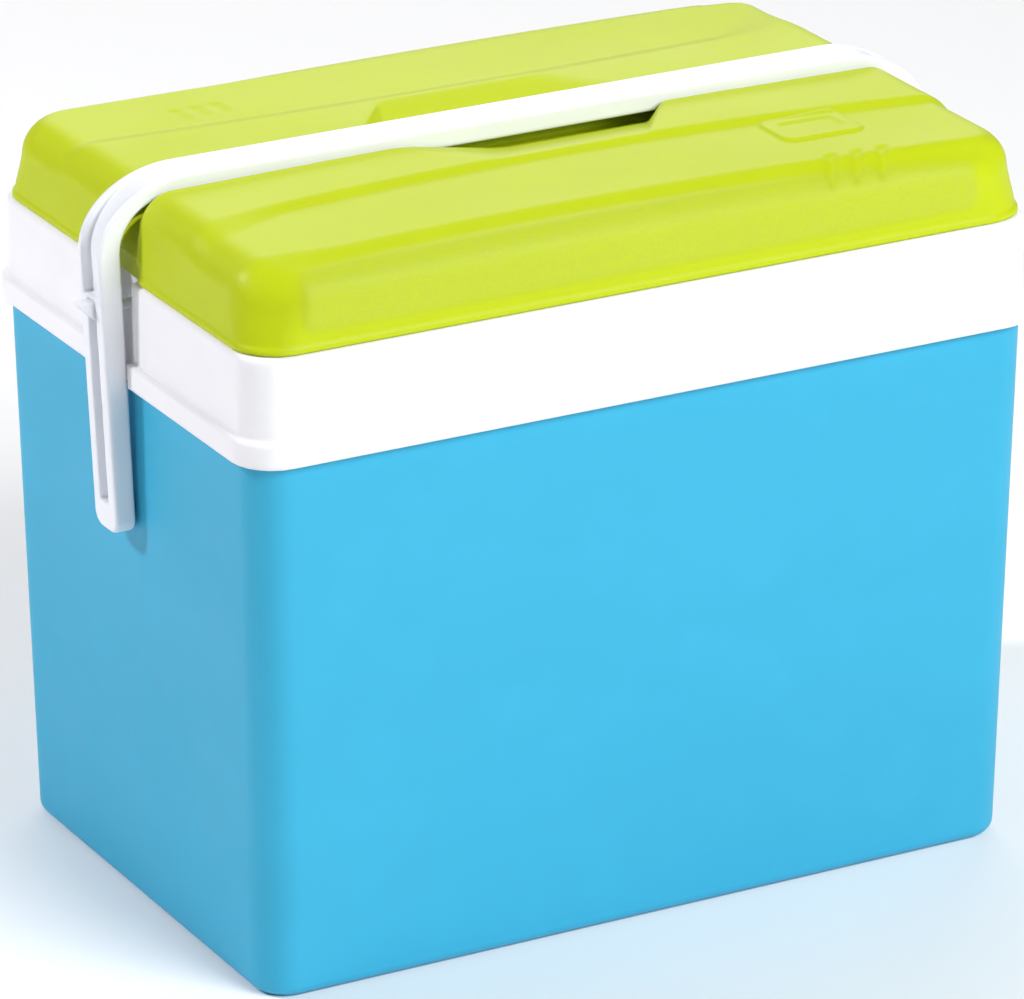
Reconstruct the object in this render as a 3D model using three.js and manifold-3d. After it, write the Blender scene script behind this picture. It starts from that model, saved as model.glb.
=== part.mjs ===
// Portable cool box: an insulated chest with a lift-off lid and a carry handle
// that is pulled straight up out of a channel in the lid.
// Millimetres, +Z up. The origin is on the ground, under the middle of the box.
// X runs along the length, Y across the depth, and -Y is the front.

import * as THREE from "three";
import { mergeVertices } from "three/addons/utils/BufferGeometryUtils.js";
import Module from "manifold-3d";

const wasm = await Module();
wasm.setup();

// ---------------------------------------------------------------- driving dimensions

const GAP = 0.3;            // between pieces that touch
const CORNER_STEPS = 5;     // facets in a quarter turn of a plan corner
const BEYOND = 20;          // how far a cutter runs past what it cuts

// The chest is a drafted tub: narrower at the base than at the collar.
const CHEST = {
  baseLength: 382.9, baseDepth: 250.5,
  topLength: 391.6, topDepth: 261.6,
  height: 254.7, tuck: 7,
  corner: 17.5, baseRound: 6, wall: 2.5,
};

// The collar is the white frame round the mouth, with a lip over the chest's top edge.
const COLLAR = {
  length: 394, depth: 264, corner: 18.5, topRound: 3,
  lipLength: 400, lipDepth: 270, lipCorner: 21, lipHeight: 12, lipRound: 1.2,
  top: 304.3, wall: 3, skirtClear: 0.5,
  mouthLength: 344, mouthDepth: 214, mouthCorner: 20,
};

// Each handle leg runs in a pocket in the end of the collar.
const POCKET = { floorX: 187, halfWidth: 12.75, sill: 3 };

const LINER = {
  wall: 2, floorTop: 30, baseLength: 328, baseDepth: 198,
  flangeLength: 363, flangeDepth: 234, flangeThickness: 2.8, flangeCorner: 28,
  baseRound: 8,
};

// The chest's foam rises inside the collar, clear of the studs' tips.
const UPPER_FOAM = { length: 360, depth: 252, corner: 14 };

const LID = {
  length: 392.6, depth: 260.8, corner: 22, wall: 2.5,
  base: COLLAR.top + GAP, crown: 344.9,
  cornerFrom: 308, cornerGrowth: 58,    // the plan corners open out towards the crown
  plugDepth: 28, plugClearance: 2, plugRound: 4, panWall: 2, flangeThickness: 2.5,
  foamInset: 24.5, foamRound: 3,        // the foam slab stands in from the skirt
};

// The channel along the lid takes the handle's bar, and its ends turn down for the legs.
const CHANNEL = { halfWidth: 12.75, floor: 328, endX: 188.5, bend: 14 };

// A scoop beside the bar on each half of the lid. The back one is the front one turned round.
const SCOOP = {
  outerY: -52, outerZ: 344.1, lowZ: 336, overlap: 2,
  mouthFrom: -78, mouthTo: 64,
  outerFrom: -35, outerTo: 50,
};

// The handle is a U. Its legs lean in towards the feet.
const HANDLE = {
  width: 22.5, foot: 185, footRound: 7,
  outerFootX: 206.2, outerBendX: 211.8, outerBendZ: 315, outerBendReach: 46,
  innerFootX: 196.2, innerBendX: 201, innerBendZ: 317, innerBendReach: 23,
  top: 349.4, barThickness: 9.7,
  groove: { halfWidth: 7, depth: 4, from: 296.5 },
};

// A stud on each end of the collar runs in a stepped slot in the leg.
const STUD = {
  z: 290, shankRadius: 2.3, shoulderRadius: 5, shoulderX: 190, tipX: 182.5,
  headInnerX: 206, headOuterX: 218, headHalfWidth: 3.7, headHalfHeight: 4,
  headTip: 1.4, headFootX: 211,
};
const SLOT = { halfWidth: 2.8, stepHalfWidth: 4.2, ledge: 5.2, play: 0.5 };  // ledge: web thickness
const LIFT = 87;            // travel of the handle, from stowed to carrying

const COLOURS = { blue: 0x4cc0ec, lime: 0xc9dc33, white: 0xf5f4f8, foam: 0xe8e4d6 };

// ---------------------------------------------------------------- shapes and solids

function roundedRectangle(length, depth, radius) {
  const x = length / 2 - radius;
  const y = depth / 2 - radius;
  const shape = new THREE.Shape();
  shape.absarc(x, y, radius, 0, Math.PI / 2);
  shape.absarc(-x, y, radius, Math.PI / 2, Math.PI);
  shape.absarc(-x, -y, radius, Math.PI, Math.PI * 1.5);
  shape.absarc(x, -y, radius, Math.PI * 1.5, Math.PI * 2);
  shape.closePath();
  return shape;
}

function polygon(points) {
  return new THREE.Shape(points.map(([x, y]) => new THREE.Vector2(x, y)));
}

function toSolid(geometry) {
  geometry.deleteAttribute("normal");
  geometry.deleteAttribute("uv");
  const merged = mergeVertices(geometry, 1e-4);
  return new wasm.Manifold(new wasm.Mesh({
    numProp: 3,
    vertProperties: Float32Array.from(merged.attributes.position.array),
    triVerts: Uint32Array.from(merged.index.array),
  }));
}

// An upright prism. `round` rounds the edges at both ends, inside the outline.
function uprightGeometry(shape, from, to, round = 0) {
  const geometry = new THREE.ExtrudeGeometry(shape, {
    depth: to - from - 2 * round,
    curveSegments: CORNER_STEPS,
    bevelEnabled: round > 0,
    bevelSize: round,
    bevelThickness: round,
    bevelOffset: -round,
    bevelSegments: 2,
  });
  return geometry.translate(0, 0, from + round);
}

function upright(shape, from, to, round = 0) {
  return toSolid(uprightGeometry(shape, from, to, round));
}

// A prism along X from an outline drawn in (Y, Z).
function alongX(shape, from, to) {
  const geometry = new THREE.ExtrudeGeometry(shape, {
    depth: to - from, curveSegments: CORNER_STEPS, bevelEnabled: false,
  });
  geometry.translate(0, 0, from);
  const turn = new THREE.Matrix4().makeBasis(
    new THREE.Vector3(0, 1, 0), new THREE.Vector3(0, 0, 1), new THREE.Vector3(1, 0, 0));
  return toSolid(geometry.applyMatrix4(turn));
}

// A prism along Y from an outline drawn in (X, Z).
function alongY(shape, from, to, steps = CORNER_STEPS) {
  const geometry = new THREE.ExtrudeGeometry(shape, {
    depth: to - from, curveSegments: steps, bevelEnabled: false,
  });
  return toSolid(geometry.rotateX(Math.PI / 2).translate(0, to, 0));
}

function block(x0, x1, y0, y1, z0, z1) {
  const geometry = new THREE.BoxGeometry(x1 - x0, y1 - y0, z1 - z0);
  return toSolid(geometry.translate((x0 + x1) / 2, (y0 + y1) / 2, (z0 + z1) / 2));
}

// A cylinder along X.
function cylinderX(radius, x0, x1, z) {
  const geometry = new THREE.CylinderGeometry(radius, radius, Math.abs(x1 - x0), 20);
  return toSolid(geometry.rotateZ(Math.PI / 2).translate((x0 + x1) / 2, 0, z));
}

// A solid through level convex rings of equally many points, from the lowest to the highest.
function loft(rings) {
  const count = rings[0].length;
  const top = (rings.length - 1) * count;
  const index = [];
  for (let start = 0; start < top; start += count) {
    for (let i = 0; i < count; i += 1) {
      const next = (i + 1) % count;
      index.push(start + i, start + next, start + count + next);
      index.push(start + i, start + count + next, start + count + i);
    }
  }
  for (let i = 1; i < count - 1; i += 1) {
    index.push(0, i + 1, i);
    index.push(top, top + i, top + i + 1);
  }
  return new wasm.Manifold(new wasm.Mesh({
    numProp: 3,
    vertProperties: Float32Array.from(rings.flat(2)),
    triVerts: Uint32Array.from(index),
  }));
}

// Widens a tub with height, from 1 at the ground to the given factors at `height`.
function drafted(geometry, height, factorX, factorY) {
  const position = geometry.attributes.position;
  for (let i = 0; i < position.count; i += 1) {
    const share = position.getZ(i) / height;
    position.setX(i, position.getX(i) * (1 + (factorX - 1) * share));
    position.setY(i, position.getY(i) * (1 + (factorY - 1) * share));
  }
  return geometry;
}

function mirroredX(solid) {
  return solid.scale([-1, 1, 1]);
}

function bothEnds(solid) {
  return solid.add(mirroredX(solid));
}

// ---------------------------------------------------------------- chest

// The chest's outline, drawn in by `inset` all round, from `from` to `to`.
function chestBody(inset, from, to) {
  const outline = roundedRectangle(
    CHEST.baseLength - 2 * inset, CHEST.baseDepth - 2 * inset, CHEST.corner - inset);
  const geometry = uprightGeometry(outline, from, to + BEYOND, CHEST.baseRound - inset / 2);
  const tub = toSolid(drafted(
    geometry, CHEST.height,
    CHEST.topLength / CHEST.baseLength, CHEST.topDepth / CHEST.baseDepth));
  return tub.subtract(aboveZ(to));
}

function aboveZ(z) {
  return block(-300, 300, -300, 300, z, z + 400);
}

function outerShell() {
  const top = CHEST.height + CHEST.tuck;
  const notch = POCKET.halfWidth + COLLAR.wall + GAP;
  return chestBody(0, 0, top)
    .subtract(chestBody(CHEST.wall, CHEST.wall, top + 1))
    .subtract(bothEnds(block(
      -CHEST.topLength / 2 - BEYOND, -POCKET.floorX + COLLAR.wall,
      -notch, notch, CHEST.height - GAP, top + 1)));
}

// The liner's outside, widened by `grow` all round.
function linerBody(grow, bottom, top) {
  const height = COLLAR.top;
  const topLength = COLLAR.mouthLength + 2 * grow;
  const topDepth = COLLAR.mouthDepth + 2 * grow;
  const baseLength = LINER.baseLength + 2 * grow;
  const baseDepth = LINER.baseDepth + 2 * grow;
  const outline = roundedRectangle(baseLength, baseDepth, COLLAR.mouthCorner + grow);
  const geometry = uprightGeometry(outline, bottom, top + BEYOND, LINER.baseRound);
  return toSolid(drafted(geometry, height, topLength / baseLength, topDepth / baseDepth))
    .subtract(aboveZ(top));
}

const LINER_TOP = COLLAR.top - COLLAR.wall - GAP;

function innerLiner() {
  const flange = upright(
    roundedRectangle(LINER.flangeLength, LINER.flangeDepth, LINER.flangeCorner),
    LINER_TOP - LINER.flangeThickness, LINER_TOP);
  return linerBody(LINER.wall, LINER.floorTop - LINER.wall, LINER_TOP)
    .add(flange)
    .subtract(linerBody(0, LINER.floorTop, LINER_TOP + 1));
}

function shellInsulation() {
  const clear = CHEST.wall + GAP;
  const ledge = CHEST.height - 2 * GAP;
  const upper = upright(
    roundedRectangle(UPPER_FOAM.length, UPPER_FOAM.depth, UPPER_FOAM.corner),
    ledge - BEYOND, LINER_TOP - LINER.flangeThickness - GAP);
  return chestBody(clear, clear, ledge)
    .add(upper)
    .subtract(linerBody(LINER.wall + GAP, LINER.floorTop - LINER.wall - GAP, COLLAR.top));
}

// ---------------------------------------------------------------- collar and studs

function collarOutside() {
  const lipBottom = CHEST.height;
  const upper = upright(
    roundedRectangle(COLLAR.length, COLLAR.depth, COLLAR.corner),
    lipBottom + 1, COLLAR.top, COLLAR.topRound);
  const lip = upright(
    roundedRectangle(COLLAR.lipLength, COLLAR.lipDepth, COLLAR.lipCorner),
    lipBottom, lipBottom + COLLAR.lipHeight, COLLAR.lipRound);
  return upper.add(lip);
}

function collarInside() {
  const shellTop = CHEST.height + CHEST.tuck + GAP;
  const lower = upright(
    roundedRectangle(
      CHEST.topLength + 2 * COLLAR.skirtClear, CHEST.topDepth + 2 * COLLAR.skirtClear,
      CHEST.corner),
    CHEST.height - BEYOND, shellTop);
  const upper = upright(
    roundedRectangle(
      COLLAR.length - 2 * COLLAR.wall, COLLAR.depth - 2 * COLLAR.wall,
      COLLAR.corner - COLLAR.wall),
    shellTop - 1, COLLAR.top - COLLAR.wall);
  return lower.add(upper);
}

function collar() {
  const outside = collarOutside();
  const wallY = POCKET.halfWidth + COLLAR.wall;
  const sillTop = CHEST.height + POCKET.sill;
  const behind = -POCKET.floorX + COLLAR.wall;
  const beyondX = -COLLAR.lipLength / 2 - BEYOND;
  const sillX = -CHEST.topLength / 2 + GAP;
  const pocketBox = bothEnds(block(
    beyondX, behind, -wallY, wallY, CHEST.height, COLLAR.top)).intersect(outside);
  const mouth = upright(
    roundedRectangle(COLLAR.mouthLength, COLLAR.mouthDepth, COLLAR.mouthCorner),
    COLLAR.top - BEYOND, COLLAR.top + 1);
  const pocket = block(
    beyondX, -POCKET.floorX, -POCKET.halfWidth, POCKET.halfWidth, sillTop, COLLAR.top + 1);
  const legWay = block(
    beyondX, sillX, -POCKET.halfWidth, POCKET.halfWidth, CHEST.height - 1, sillTop + 1);
  const studHole = cylinderX(
    STUD.shankRadius + GAP, -POCKET.floorX - 1, behind + 1, STUD.z);
  return outside
    .subtract(collarInside())
    .add(pocketBox)
    .subtract(mouth)
    .subtract(bothEnds(pocket.add(legWay).add(studHole)));
}

// The left stud: a round shank with a shoulder, pushed through the pocket's floor, and a
// wedge head that stands out of the leg, flat on top and ramped below.
function pivotStud() {
  const shank = cylinderX(STUD.shankRadius, -STUD.headInnerX - 0.5, -STUD.tipX, STUD.z);
  const shoulder = cylinderX(
    STUD.shoulderRadius, -STUD.shoulderX, -POCKET.floorX - GAP, STUD.z);
  const head = alongY(polygon([
    [-STUD.headInnerX, STUD.z - STUD.headHalfHeight],
    [-STUD.headInnerX, STUD.z + STUD.headHalfHeight],
    [-STUD.headOuterX, STUD.z + STUD.headHalfHeight],
    [-STUD.headOuterX, STUD.z + STUD.headHalfHeight - STUD.headTip],
    [-STUD.headFootX, STUD.z - STUD.headHalfHeight],
  ]), -STUD.headHalfWidth, STUD.headHalfWidth);
  return shank.add(shoulder).add(head);
}

// ---------------------------------------------------------------- lid

// Section of the lid across its depth, as (Y, Z) points of the front half.
// A raised band beside the channel, a shelf and a rounded front.
const FRONT_SECTION = [
  [-130.4, 304.6], [-130.2, 314], [-128.8, 324], [-125, 332], [-119.5, 336.8],
  [-114.5, 338.8], [-107.5, 341.6], [-56, 342.4], [-51, 344.2], [0, 344.9],
];

// Section of the lid along its length, as (X, Z) points of the left half.
const END_SECTION = [
  [-196.3, 304.6], [-196, 313], [-194.4, 322], [-191, 331], [-186.5, 338], [-177, 341.8],
  [-120, 343.6], [0, 344.9],
];

// The whole outline from the points of one half, drawn in by `inset`, and open below.
function mirroredOutline(half, inset) {
  const drawn = half.map(([a, z]) => [Math.min(a + inset, 0), z - inset]);
  const right = drawn.slice(0, -1).reverse().map(([a, z]) => [-a, z]);
  const [edge] = drawn[0];
  const below = LID.base - BEYOND;
  return polygon([...drawn, ...right, [-edge, below], [edge, below]].reverse());
}

// The lid's plan, whose corners open out with height. It is taller than the lid.
function lidPlan(inset) {
  const ringAt = (radius, z) => {
    const ring = roundedRectangle(LID.length - 2 * inset, LID.depth - 2 * inset, radius);
    return ring.getPoints(CORNER_STEPS).slice(0, -1).map(({ x, y }) => [x, y, z]);
  };
  const rise = LID.crown + 1 - LID.cornerFrom;
  const rings = [ringAt(LID.corner - inset, inset > 0 ? LID.base - 1 : LID.base)];
  for (let step = 0; step <= CORNER_STEPS; step += 1) {
    const turn = (step / CORNER_STEPS) * (Math.PI / 2);
    rings.push(ringAt(
      LID.corner - inset + LID.cornerGrowth * (1 - Math.cos(turn)),
      LID.cornerFrom - inset + rise * Math.sin(turn)));
  }
  return loft(rings);
}

function lidBody(inset) {
  return lidPlan(inset)
    .intersect(alongX(mirroredOutline(FRONT_SECTION, inset), -LID.length, LID.length))
    .intersect(alongY(mirroredOutline(END_SECTION, inset), -LID.depth, LID.depth));
}

// The space above the channel's floor, widened by `grow`.
function channelSpace(grow) {
  const half = CHANNEL.halfWidth + grow;
  const coreX = CHANNEL.endX - grow;
  const coreTop = CHANNEL.floor - grow;
  const core = new THREE.Shape();
  core.moveTo(coreX, 0);
  core.lineTo(coreX, coreTop - CHANNEL.bend);
  core.absarc(coreX - CHANNEL.bend, coreTop - CHANNEL.bend, CHANNEL.bend, 0, Math.PI / 2);
  core.lineTo(-coreX + CHANNEL.bend, coreTop);
  core.absarc(
    -coreX + CHANNEL.bend, coreTop - CHANNEL.bend, CHANNEL.bend, Math.PI / 2, Math.PI);
  core.lineTo(-coreX, 0);
  return block(-LID.length, LID.length, -half, half, LID.base - BEYOND, LID.crown + BEYOND)
    .subtract(alongY(core, -half - 1, half + 1));
}

function frontScoop() {
  const over = LID.crown + BEYOND;
  const mouthY = -CHANNEL.halfWidth + SCOOP.overlap;
  const plan = upright(polygon([
    [SCOOP.outerFrom, SCOOP.outerY], [SCOOP.outerTo, SCOOP.outerY],
    [SCOOP.mouthTo, mouthY], [SCOOP.mouthFrom, mouthY],
  ]), SCOOP.lowZ - BEYOND, over);
  const slope = alongX(polygon([
    [SCOOP.outerY, SCOOP.outerZ], [mouthY, SCOOP.lowZ], [mouthY, over],
    [SCOOP.outerY, over],
  ]), SCOOP.mouthFrom - 1, SCOOP.mouthTo + 1);
  return plan.intersect(slope);
}

function scoops() {
  const front = frontScoop();
  return front.add(front.rotate([0, 0, 180]));
}

function lidShell() {
  const hollow = lidBody(LID.wall)
    .subtract(channelSpace(LID.wall))
    .subtract(scoops().translate([0, 0, -LID.wall]));
  return lidBody(0)
    .subtract(channelSpace(0))
    .subtract(scoops())
    .subtract(hollow);
}

const PLUG = {
  length: COLLAR.mouthLength - 2 * LID.plugClearance,
  depth: COLLAR.mouthDepth - 2 * LID.plugClearance,
  corner: COLLAR.mouthCorner - LID.plugClearance,
  bottom: LID.base - LID.plugDepth,
};

function plugBody(inset, from, to) {
  return upright(
    roundedRectangle(PLUG.length - 2 * inset, PLUG.depth - 2 * inset, PLUG.corner - inset),
    from, to + BEYOND, LID.plugRound).subtract(aboveZ(to));
}

function lidLiner() {
  const edge = LID.wall + GAP;
  const flangeTop = LID.base + LID.flangeThickness;
  const flange = upright(
    roundedRectangle(LID.length - 2 * edge, LID.depth - 2 * edge, LID.corner - edge),
    LID.base, flangeTop);
  return flange
    .subtract(channelSpace(edge))
    .add(plugBody(0, PLUG.bottom, flangeTop))
    .subtract(plugBody(LID.panWall, PLUG.bottom + LID.panWall, flangeTop + 1));
}

function lidInsulation() {
  const edge = LID.foamInset;
  const clear = LID.panWall + GAP;
  const slabBottom = LID.base + LID.flangeThickness + GAP;
  const slab = upright(
    roundedRectangle(LID.length - 2 * edge, LID.depth - 2 * edge, LID.corner),
    slabBottom, CHANNEL.floor - LID.wall - 2 * GAP, LID.foamRound);
  return plugBody(clear, PLUG.bottom + clear, slabBottom + LID.foamRound).add(slab);
}

// ---------------------------------------------------------------- handle

// X of a leg's inner face at height z, on the right-hand side.
function innerLegX(z) {
  const share = (z - HANDLE.foot) / (HANDLE.innerBendZ - HANDLE.foot);
  return HANDLE.innerFootX + (HANDLE.innerBendX - HANDLE.innerFootX) * share;
}

function handleOutline() {
  const h = HANDLE;
  const outerX = h.outerBendX - h.outerBendReach;
  const outerRise = h.top - h.outerBendZ;
  const innerX = h.innerBendX - h.innerBendReach;
  const barBottom = h.top - h.barThickness;
  const innerRise = barBottom - h.innerBendZ;
  const quarter = Math.PI / 2;
  const shape = new THREE.Shape();
  shape.moveTo(-h.outerFootX, h.foot);
  shape.lineTo(-h.outerBendX, h.outerBendZ);
  shape.absellipse(-outerX, h.outerBendZ, h.outerBendReach, outerRise, 2 * quarter, quarter, true);
  shape.lineTo(outerX, h.top);
  shape.absellipse(outerX, h.outerBendZ, h.outerBendReach, outerRise, quarter, 0, true);
  shape.lineTo(h.outerFootX, h.foot);
  shape.lineTo(h.innerFootX, h.foot);
  shape.lineTo(h.innerBendX, h.innerBendZ);
  shape.absellipse(innerX, h.innerBendZ, h.innerBendReach, innerRise, 0, quarter, false);
  shape.lineTo(-innerX, barBottom);
  shape.absellipse(-innerX, h.innerBendZ, h.innerBendReach, innerRise, quarter, 2 * quarter, false);
  shape.lineTo(-h.innerFootX, h.foot);
  return shape;
}

// The shallow groove down the outside of the left bend. It runs out at the top.
function bendGroove() {
  const { groove, top, outerBendX, outerBendZ, outerBendReach } = HANDLE;
  const centreX = -(outerBendX - outerBendReach);
  const shape = new THREE.Shape();
  shape.moveTo(-outerBendX + groove.depth - 0.5, groove.from);
  shape.lineTo(-outerBendX + groove.depth, outerBendZ);
  shape.absellipse(
    centreX, outerBendZ, outerBendReach - groove.depth, top - outerBendZ,
    Math.PI, Math.PI / 2, true);
  shape.lineTo(centreX, top + BEYOND);
  shape.lineTo(-outerBendX - BEYOND, top + BEYOND);
  shape.lineTo(-outerBendX - BEYOND, groove.from);
  return alongY(shape, -groove.halfWidth, groove.halfWidth, 10);
}

// The stepped slot in the left leg: narrow for the stud's shank, wider outside for its head.
function legSlot() {
  const lowest = STUD.z - LIFT;
  const stepFrom = lowest - STUD.headHalfHeight - SLOT.play;
  const stepTo = STUD.z + STUD.headHalfHeight + SLOT.play;
  const through = STUD.shankRadius + SLOT.play;
  const narrow = alongX(roundedSlot(SLOT.halfWidth, lowest - through, STUD.z + through),
    -HANDLE.outerBendX - BEYOND, -HANDLE.innerFootX + BEYOND);
  const beyondX = -HANDLE.outerBendX - BEYOND;
  const step = alongY(polygon([
    [beyondX, stepFrom],
    [-innerLegX(stepFrom) - SLOT.ledge, stepFrom],
    [-innerLegX(stepTo) - SLOT.ledge, stepTo],
    [beyondX, stepTo],
  ]), -SLOT.stepHalfWidth, SLOT.stepHalfWidth);
  return narrow.add(step);
}

function roundedSlot(halfWidth, from, to) {
  const shape = new THREE.Shape();
  shape.absarc(0, to - halfWidth, halfWidth, 0, Math.PI);
  shape.absarc(0, from + halfWidth, halfWidth, Math.PI, Math.PI * 2);
  shape.closePath();
  return shape;
}

function carryHandle() {
  const half = HANDLE.width / 2;
  const across = new THREE.Shape();
  across.moveTo(half, HANDLE.foot + HANDLE.footRound);
  across.lineTo(half, HANDLE.top + 1);
  across.lineTo(-half, HANDLE.top + 1);
  across.lineTo(-half, HANDLE.foot + HANDLE.footRound);
  across.absarc(-half + HANDLE.footRound, HANDLE.foot + HANDLE.footRound, HANDLE.footRound,
    Math.PI, Math.PI * 1.5);
  across.absarc(half - HANDLE.footRound, HANDLE.foot + HANDLE.footRound, HANDLE.footRound,
    Math.PI * 1.5, Math.PI * 2);
  const reach = HANDLE.outerBendX + 1;
  return alongY(handleOutline(), -half, half, 12)
    .intersect(alongX(across, -reach, reach))
    .subtract(bothEnds(bendGroove().add(legSlot())));
}

// ---------------------------------------------------------------- assembly

const group = new THREE.Group();

function addPart(name, solid, colour, roughness) {
  const mesh = solid.getMesh();
  const geometry = new THREE.BufferGeometry();
  geometry.setAttribute("position", new THREE.BufferAttribute(mesh.vertProperties, 3));
  geometry.setIndex(new THREE.BufferAttribute(mesh.triVerts, 1));
  geometry.computeVertexNormals();
  const material = new THREE.MeshStandardMaterial({ color: colour, roughness, metalness: 0 });
  const part = new THREE.Mesh(geometry, material);
  part.name = name;
  group.add(part);
}

addPart("outer_shell", outerShell(), COLOURS.blue, 0.5);
addPart("shell_insulation", shellInsulation(), COLOURS.foam, 0.95);
addPart("inner_liner", innerLiner(), COLOURS.white, 0.4);
addPart("collar", collar(), COLOURS.white, 0.4);
addPart("left_pivot_stud", pivotStud(), COLOURS.white, 0.4);
addPart("right_pivot_stud", mirroredX(pivotStud()), COLOURS.white, 0.4);
addPart("lid_shell", lidShell(), COLOURS.lime, 0.5);
addPart("lid_insulation", lidInsulation(), COLOURS.foam, 0.95);
addPart("lid_liner", lidLiner(), COLOURS.white, 0.4);
addPart("carry_handle", carryHandle(), COLOURS.white, 0.35);

export default group;
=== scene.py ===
"""Looks of a portable cool box: blue chest, white collar and handle, lime lid.

Every shape is drawn here as a distance field or a set of rings, in millimetres in the
row frame, and becomes a mesh in metres. The CAD model gives the size and the motions.
"""

import math

import bpy
import numpy as np
from mathutils import Euler, Matrix, Vector


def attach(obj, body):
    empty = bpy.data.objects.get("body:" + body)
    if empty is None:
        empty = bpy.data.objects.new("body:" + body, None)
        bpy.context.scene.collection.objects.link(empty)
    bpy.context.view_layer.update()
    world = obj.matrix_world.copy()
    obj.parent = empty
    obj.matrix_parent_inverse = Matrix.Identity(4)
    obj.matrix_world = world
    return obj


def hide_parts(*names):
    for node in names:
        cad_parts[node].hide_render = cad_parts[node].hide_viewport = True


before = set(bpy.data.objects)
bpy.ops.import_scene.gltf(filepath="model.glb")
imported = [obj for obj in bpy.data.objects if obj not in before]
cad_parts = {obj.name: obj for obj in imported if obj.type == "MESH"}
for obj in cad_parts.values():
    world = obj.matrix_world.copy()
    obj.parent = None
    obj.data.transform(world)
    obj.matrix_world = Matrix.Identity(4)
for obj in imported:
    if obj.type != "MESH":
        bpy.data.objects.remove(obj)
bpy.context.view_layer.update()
MM = 0.001


# ---------------------------------------------------------------- distance fields

def rounded_max(a, b, radius):
    """Intersection of two solids, with the edge between them rounded."""
    over_a, over_b = np.maximum(a + radius, 0), np.maximum(b + radius, 0)
    return np.minimum(np.maximum(a, b), -radius) + np.hypot(over_a, over_b)


def rounded_min(a, b, radius):
    """Union of two solids, with the corner between them filled."""
    return -rounded_max(-a, -b, radius)


def cut(solid, removed, radius):
    """A solid without another, with the new edges rounded."""
    return rounded_max(solid, -removed, radius)


def ease(value, low, high):
    """0 below low, 1 above high, and smooth between."""
    t = np.clip((value - low) / (high - low), 0, 1)
    return t * t * (3 - 2 * t)


def rectangle(x, y, half_x, half_y, radius):
    """Distance to a rounded rectangle round the origin."""
    over_x = np.abs(x) - half_x + radius
    over_y = np.abs(y) - half_y + radius
    outside = np.hypot(np.maximum(over_x, 0), np.maximum(over_y, 0))
    return outside + np.minimum(np.maximum(over_x, over_y), 0) - radius


def slab(value, low, high):
    """Distance to the space between two parallel planes."""
    return np.maximum(low - value, value - high)


def polygon_distance(x, y, points):
    """Distance to a closed outline, negative inside."""
    best = np.full(x.shape, 1e9)
    inside = np.zeros(x.shape, bool)
    for (x0, y0), (x1, y1) in zip(points, np.roll(points, -1, axis=0)):
        dx, dy = x1 - x0, y1 - y0
        length = dx * dx + dy * dy
        if length < 1e-12:
            continue
        px, py = x - x0, y - y0
        t = np.clip((px * dx + py * dy) / length, 0, 1)
        best = np.minimum(best, (px - t * dx) ** 2 + (py - t * dy) ** 2)
        if y0 != y1:
            crosses = ((y0 > y) != (y1 > y)) & (x < x0 + (y - y0) * dx / dy)
            inside ^= crosses
    return np.where(inside, -1, 1) * np.sqrt(best)


# ---------------------------------------------------------------- from field to mesh

CORNERS = np.array([(i, j, k) for i in (0, 1) for j in (0, 1) for k in (0, 1)])
EDGES = [(a, b) for a in range(8) for b in range(a + 1, 8)
         if np.abs(CORNERS[a] - CORNERS[b]).sum() == 1]


def gradient(field, points, reach=0.05):
    """The field's slope at each point, from values a little ahead and behind."""
    parts = []
    for axis in range(3):
        shift = np.zeros(3)
        shift[axis] = reach
        ahead, behind = points + shift, points - shift
        parts.append((field(*ahead.T) - field(*behind.T)) / (2 * reach))
    return np.stack(parts, 1)


def onto_surface(field, points, rounds):
    """Points moved along the slope on to the field's zero surface, 1 mm a round at most."""
    for _ in range(rounds):
        value = field(*points.T)
        slope = gradient(field, points)
        size = np.maximum((slope ** 2).sum(1), 0.05)
        move = slope * (value / size)[:, None]
        length = np.linalg.norm(move, axis=1, keepdims=True)
        points = points - move * np.minimum(1, 1.0 / np.maximum(length, 1e-9))
    return points


def edge_pairs(faces):
    """Each edge of the quads once, as two point numbers."""
    pairs = np.concatenate([
        np.stack([faces[:, i], faces[:, (i + 1) % faces.shape[1]]], 1)
        for i in range(faces.shape[1])])
    return np.unique(np.sort(pairs, axis=1), axis=0)


def neighbour_mean(points, pairs):
    """The mean of each point's neighbours along the edges."""
    count = np.bincount(pairs.ravel(), minlength=len(points)).astype(float)
    total = np.stack([
        np.bincount(pairs[:, 0], points[pairs[:, 1], i], len(points))
        + np.bincount(pairs[:, 1], points[pairs[:, 0], i], len(points))
        for i in range(3)], 1)
    return total / np.maximum(count, 1)[:, None]


MARGIN_CELLS = 1.5          # empty cells kept round a field
VALUES_AT_ONCE = 1_000_000  # grid values worked out in one go
RELAX_ROUNDS = 2


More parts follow.
